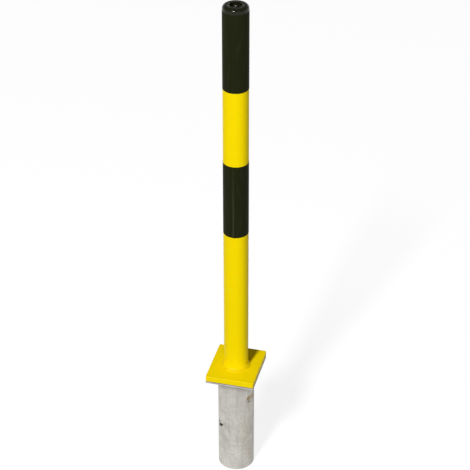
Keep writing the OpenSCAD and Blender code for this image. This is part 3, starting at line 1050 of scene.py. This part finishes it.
def film_winding(low, high, radius, seam):
    """A film wound once round the tube and a little over its own start. The closed section runs
    along the outer face and back along the inner face, one film thickness apart, and its radius
    grows by one thickness on a smooth step just before it meets its start. The section is carried
    up the band, and drawn together on its middle line at both cut edges."""
    overlap, bridge = FILM_OVERLAP / radius, FILM_BRIDGE / radius
    turn = np.linspace(0, 2 * math.pi + overlap, FILM_POINTS)
    step = np.clip((turn - (2 * math.pi - bridge)) / bridge, 0, 1)
    inner = radius + 1.05 * FILM_THICKNESS * step**2 * (3 - 2 * step)
    middle = inner + FILM_THICKNESS / 2
    around = np.concatenate([turn, turn[::-1]]) + seam
    open_section = np.concatenate([inner + FILM_THICKNESS, inner[::-1]])
    closed_section = np.concatenate([middle, middle[::-1]])
    section = np.stack([closed_section, open_section, open_section, closed_section])
    heights = np.array([low, low + CUT_ROUND, high - CUT_ROUND, high])[:, None]
    return np.stack(
        [section * np.sin(around), -section * np.cos(around), heights + 0 * section], axis=-1
    )


for name, seam in FILM_SEAMS.items():
    low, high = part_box(name)
    top = high.z + (FILM_RISE if name == "upper_band" else 0.0)
    band = surface(
        f"{name}_film",
        film_winding(low.z, top, high.x - FILM_THICKNESS, math.radians(seam)),
        film,
        wrap_columns=True,
    )
    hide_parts(name)
    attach(band, "post")


# Head casting and key cup. The head is cast iron with a rounded shoulder, pushed into the tube on
# its spigot. A turned cup with a rounded lip lines the hole for the key. Both have a gloss black
# enamel that shows the cast skin, and keys have worn it off the top of the lip.
ENAMEL_BLACK, ENAMEL_GREY, WORN_STEEL = "#1a1b0d", "#252617", "#8f8d80"
CASTING_GRAIN, GRAIN_DEPTH = 1.3 * MM, 0.10 * MM
PATCH_SIZE, WEAR_SIZE = 6 * MM, 4 * MM
SHOULDER = 8.0 * MM
TOP_LOOP = 2 * MM
SPIGOT_WALL, SPIGOT_CHAMFER = 4.0 * MM, 0.8 * MM
SEAT_CHAMFER = 0.5 * MM
CUP_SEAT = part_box("key_cup")[1].x + 0.08 * MM
CUP_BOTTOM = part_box("key_cup")[0].z
JOINT_CHAMFER = 0.9 * MM
CASTING_SWELL = 0.10 * MM
FLASH_HEIGHT, FLASH_WIDTH = 0.22 * MM, 0.8 * MM
FLASH_TURN = math.radians(74)
LIP_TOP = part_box("key_cup")[1].z

enamel, tree, shader, place = new_material("black_enamel_on_cast_iron")
skin = add_node(
    tree,
    "ShaderNodeTexNoise",
    {"Vector": place, "Scale": 1 / CASTING_GRAIN, "Detail": 3.0, "Roughness": 0.6},
)
skin_bump = add_node(
    tree, "ShaderNodeBump", {"Height": skin.outputs[0], "Distance": GRAIN_DEPTH}
)
patches = add_node(
    tree, "ShaderNodeTexNoise", {"Vector": place, "Scale": 1 / PATCH_SIZE, "Detail": 4.0}
)
patch_share = add_node(
    tree,
    "ShaderNodeMapRange",
    {"Value": patches.outputs[0], "From Min": 0.45, "From Max": 0.70},
)
enamel_colour = add_node(
    tree,
    "ShaderNodeMix",
    {0: patch_share.outputs[0], 6: linear(ENAMEL_BLACK), 7: linear(ENAMEL_GREY)},
    data_type="RGBA",
)
axes = add_node(tree, "ShaderNodeSeparateXYZ", {"Vector": place})
lip_height = add_node(
    tree,
    "ShaderNodeMapRange",
    {
        "Value": axes.outputs["Z"],
        "From Min": LIP_TOP - 0.8 * MM,
        "From Max": LIP_TOP,
        "To Max": 0.30,
    },
)
wear = add_node(
    tree, "ShaderNodeTexNoise", {"Vector": place, "Scale": 1 / WEAR_SIZE, "Detail": 4.0}
)
wear_level = add_node(
    tree,
    "ShaderNodeMath",
    {0: wear.outputs[0], 1: lip_height.outputs[0]},
    operation="ADD",
)
wear_share = add_node(
    tree,
    "ShaderNodeMapRange",
    {"Value": wear_level.outputs[0], "From Min": 0.74, "From Max": 0.80},
)
enamel_colour = add_node(
    tree,
    "ShaderNodeMix",
    {0: wear_share.outputs[0], 6: enamel_colour.outputs[2], 7: linear(WORN_STEEL)},
    data_type="RGBA",
)
wire(
    tree,
    shader,
    {
        "Base Color": enamel_colour.outputs[2],
        "Metallic": wear_share.outputs[0],
        "Roughness": 0.15,
        "Specular IOR Level": 0.20,
        "Normal": skin_bump.outputs[0],
    },
)
finish(enamel, "key_cup")


def head_casting(columns=240):
    """The head as a closed section turned round the axis: seat of the cup, hollow end, spigot, a
    chamfer at the joint, wall, shoulder as a quarter circle, and top. The cast skin outside swells
    and sinks by three slow waves round the axis, and carries the thin flash of the mould's parting
    line on two sides."""
    bottom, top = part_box("head_cap")
    radius, spigot = top.x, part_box("bearing_plate")[1].x
    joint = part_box("post_tube")[1].z
    arc = np.linspace(0, math.pi / 2, 15)
    chamfer = JOINT_CHAMFER * np.array([1.0, 0.3, 0.0])
    inner = [
        (CUP_SEAT, CUP_BOTTOM),
        (spigot - SPIGOT_WALL, CUP_BOTTOM),
        (spigot - SPIGOT_WALL, bottom.z),
        (spigot - SPIGOT_CHAMFER, bottom.z),
        (spigot, bottom.z + SPIGOT_CHAMFER),
        (spigot, joint),
    ]
    wall = np.column_stack([radius - chamfer, joint + JOINT_CHAMFER - chamfer[::-1]])
    shoulder = np.column_stack(
        [
            radius - SHOULDER + SHOULDER * np.cos(arc),
            top.z - SHOULDER + SHOULDER * np.sin(arc),
        ]
    )
    face = [(radius - SHOULDER - TOP_LOOP, top.z), (CUP_SEAT + SEAT_CHAMFER, top.z)]
    seat = [(CUP_SEAT, top.z - SEAT_CHAMFER)]
    section = np.vstack([inner, wall, shoulder, face, seat])
    outside = np.zeros(len(section))
    outside[len(inner) + 1 : len(inner) + 3 + len(arc)] = 1.0
    around = np.linspace(0, 2 * math.pi, columns, endpoint=False)[None, :]
    swell = sum(np.sin(n * around + shift) for n, shift in ((3, 0.4), (7, 2.1), (11, 4.0)))
    aside = np.sin(around - FLASH_TURN) * radius
    flash = FLASH_HEIGHT * np.exp(-((aside / FLASH_WIDTH) ** 2))
    growth = outside[:, None] * (CASTING_SWELL * (swell / 3 - 1) + flash)
    reach = section[:, :1] + growth
    height = section[:, 1:] + 0 * around
    return np.stack([reach * np.sin(around), -reach * np.cos(around), height], axis=-1)


head = surface(
    "head_casting", head_casting(), enamel, wrap_rows=True, wrap_columns=True, crease=50.0
)
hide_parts("head_cap")
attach(head, "post")


# Key spindle, rod and crossbar. Bright drawn bar, turned and milled, left bare with a thin coat of
# oil: mid-grey metal with the fine rings of the lathe on its round faces and ends.
STEEL_PALE, STEEL_DARK = "#807f78", "#55544f"
OIL_SIZE = 9 * MM
LATHE_PITCH, LATHE_DEPTH = 0.6 * MM, 0.01 * MM
WAVE_LENGTH = 2 * math.pi / 20  # of a wave texture at scale 1

bright_steel, tree, shader, place = new_material("turned_bright_steel")
oil = add_node(
    tree, "ShaderNodeTexNoise", {"Vector": place, "Scale": 1 / OIL_SIZE, "Detail": 5.0}
)
oil_share = add_node(
    tree,
    "ShaderNodeMapRange",
    {"Value": oil.outputs[0], "From Min": 0.40, "From Max": 0.66},
)
steel_colour = add_node(
    tree,
    "ShaderNodeMix",
    {0: oil_share.outputs[0], 6: linear(STEEL_PALE), 7: linear(STEEL_DARK)},
    data_type="RGBA",
)
end_rings = add_node(
    tree,
    "ShaderNodeTexWave",
    {"Vector": place, "Scale": WAVE_LENGTH / LATHE_PITCH},
    wave_type="RINGS",
    rings_direction="Z",
)
feed_lines = add_node(
    tree,
    "ShaderNodeTexWave",
    {"Vector": place, "Scale": WAVE_LENGTH / LATHE_PITCH},
    bands_direction="Z",
)
lathe_marks = add_node(
    tree,
    "ShaderNodeMath",
    {0: end_rings.outputs[1], 1: feed_lines.outputs[1]},
    operation="ADD",
)
lathe_bump = add_node(
    tree, "ShaderNodeBump", {"Height": lathe_marks.outputs[0], "Distance": LATHE_DEPTH}
)
wire(
    tree,
    shader,
    {
        "Base Color": steel_colour.outputs[2],
        "Metallic": 1.0,
        "Roughness": 0.38,
        "Normal": lathe_bump.outputs[0],
    },
)
finish(
    bright_steel,
    "lock_rod",
    "coupling_tube",
    "stop_collar",
    "crossbar",
    "bearing_plate",
    "stop_pin",
    "thrust_washer",
)


# Key spindle. Turned from the same bar, with three flats milled on its upper end, a drilled centre
# from the lathe, and edges that keys have rounded. It hangs from its collar on the bush.
SPINDLE_SIDE = 14.0 * MM
SPINDLE_LEAD = math.radians(10)
CORNER_RADIUS = 7.4 * MM
SHANK_RADIUS = 6.0 * MM
COLLAR_RADIUS, COLLAR_TOP, COLLAR_HEIGHT = 8.55 * MM, 980.6 * MM, 2.0 * MM
COLLAR_CHAMFER, SHANK_CHAMFER = 0.2 * MM, 0.8 * MM
GROOVE_DEPTH = 0.7 * MM
CENTRE_RADIUS, CENTRE_DEPTH = 1.6 * MM, 2.4 * MM
EDGE_ROUND = 1.0 * MM


def spindle(columns=180):
    """The spindle as rows of points round the axis, from the bottom of the centre hole over the end
    face, down the three flats and the collar to the end of the shank. A round row has one radius.
    A row of the flats has the smaller of its own radius and the distance to the triangle's side,
    which is the side's distance from the axis over the cosine of the angle to its middle."""
    low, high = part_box("key_spindle")
    ring_low, ring_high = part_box("snap_ring")
    around = np.linspace(0, 2 * math.pi, columns, endpoint=False)
    from_corner = (around - SPINDLE_LEAD) % (2 * math.pi / 3) - math.pi / 3
    flats = SPINDLE_SIDE / math.sqrt(12) / np.cos(from_corner)
    triangle = np.minimum(flats, CORNER_RADIUS)
    end = high.z
    arc = np.linspace(0, math.pi / 2, 5)
    rounding = EDGE_ROUND * np.column_stack([np.sin(arc) - 1, np.cos(arc) - 1])
    rows = [
        (0 * triangle, end - CENTRE_DEPTH),
        (0.4 * CENTRE_RADIUS + 0 * triangle, end - 0.7 * CENTRE_DEPTH),
        (0.4 * CENTRE_RADIUS + 0 * triangle, end - 0.5 * CENTRE_DEPTH),
        (CENTRE_RADIUS + 0 * triangle, end),
    ]
    rows += [
        (triangle + inwards * triangle / CORNER_RADIUS, end + down)
        for inwards, down in rounding
    ]
    rows += [(triangle, COLLAR_TOP)]
    shank = [
        (COLLAR_RADIUS - COLLAR_CHAMFER, COLLAR_TOP),
        (COLLAR_RADIUS, COLLAR_TOP - COLLAR_CHAMFER),
        (COLLAR_RADIUS, COLLAR_TOP - COLLAR_HEIGHT),
        (SHANK_RADIUS, COLLAR_TOP - COLLAR_HEIGHT),
        (SHANK_RADIUS, ring_high.z),
        (SHANK_RADIUS - GROOVE_DEPTH, ring_high.z),
        (SHANK_RADIUS - GROOVE_DEPTH, ring_low.z),
        (SHANK_RADIUS, ring_low.z),
        (SHANK_RADIUS, low.z + SHANK_CHAMFER),
        (SHANK_RADIUS - SHANK_CHAMFER, low.z),
        (0.0, low.z),
    ]
    rows += [(radius + 0 * triangle, height) for radius, height in shank]
    radius = np.array([row[0] for row in rows])
    height = np.array([row[1] for row in rows])[:, None] + 0 * radius
    return np.stack([radius * np.sin(around), -radius * np.cos(around), height], axis=-1)


turned_spindle = surface("turned_spindle", spindle(), bright_steel, wrap_columns=True)
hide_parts("key_spindle")
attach(turned_spindle, "lock")


# Roll pins and retaining ring. Hardened spring steel with a black oxide finish, a dull brown-black
# sheen, driven or snapped in place.
OXIDE_BLACK, OXIDE_BROWN = "#2c2b29", "#4a4038"
OXIDE_SIZE = 3 * MM

spring_steel, tree, shader, place = new_material("black_oxide_spring_steel")
oxide = add_node(
    tree, "ShaderNodeTexNoise", {"Vector": place, "Scale": 1 / OXIDE_SIZE, "Detail": 4.0}
)
oxide_colour = add_node(
    tree,
    "ShaderNodeMix",
    {0: oxide.outputs[0], 6: linear(OXIDE_BLACK), 7: linear(OXIDE_BROWN)},
    data_type="RGBA",
)
wire(
    tree,
    shader,
    {"Base Color": oxide_colour.outputs[2], "Metallic": 0.8, "Roughness": 0.45},
)
finish(spring_steel, "coupling_pins", "collar_pin", "crossbar_pin", "snap_ring")


# Bushes. Turned bearing bronze, pressed into the cup's floor and the bearing plate, dull brown-gold
# with fine rings.
BRONZE_PALE, BRONZE_DARK = "#b98f52", "#8a6534"
TARNISH_SIZE = 5 * MM

bearing_bronze, tree, shader, place = new_material("turned_bearing_bronze")
tarnish = add_node(
    tree, "ShaderNodeTexNoise", {"Vector": place, "Scale": 1 / TARNISH_SIZE, "Detail": 4.0}
)
bronze_colour = add_node(
    tree,
    "ShaderNodeMix",
    {0: tarnish.outputs[0], 6: linear(BRONZE_PALE), 7: linear(BRONZE_DARK)},
    data_type="RGBA",
)
bronze_rings = add_node(
    tree,
    "ShaderNodeTexWave",
    {"Vector": place, "Scale": WAVE_LENGTH / LATHE_PITCH},
    wave_type="RINGS",
    rings_direction="Z",
)
bronze_bump = add_node(
    tree, "ShaderNodeBump", {"Height": bronze_rings.outputs[1], "Distance": LATHE_DEPTH}
)
wire(
    tree,
    shader,
    {
        "Base Color": bronze_colour.outputs[2],
        "Metallic": 1.0,
        "Roughness": 0.42,
        "Normal": bronze_bump.outputs[0],
    },
)
finish(bearing_bronze, "spindle_bush", "lower_bush")


# Rod guide. A spider moulded in natural nylon, pushed down the tube half-way, with the matt skin
# and faint flow clouds of the mould.
NYLON_PALE, NYLON_SHADE = "#e8e4d6", "#d6d0bc"
FLOW_SIZE = 12 * MM

nylon, tree, shader, place = new_material("moulded_natural_nylon")
flow = add_node(
    tree, "ShaderNodeTexNoise", {"Vector": place, "Scale": 1 / FLOW_SIZE, "Detail": 2.0}
)
nylon_colour = add_node(
    tree,
    "ShaderNodeMix",
    {0: flow.outputs[0], 6: linear(NYLON_PALE), 7: linear(NYLON_SHADE)},
    data_type="RGBA",
)
wire(tree, shader, {"Base Color": nylon_colour.outputs[2], "Roughness": 0.55})
finish(nylon, "rod_guide")
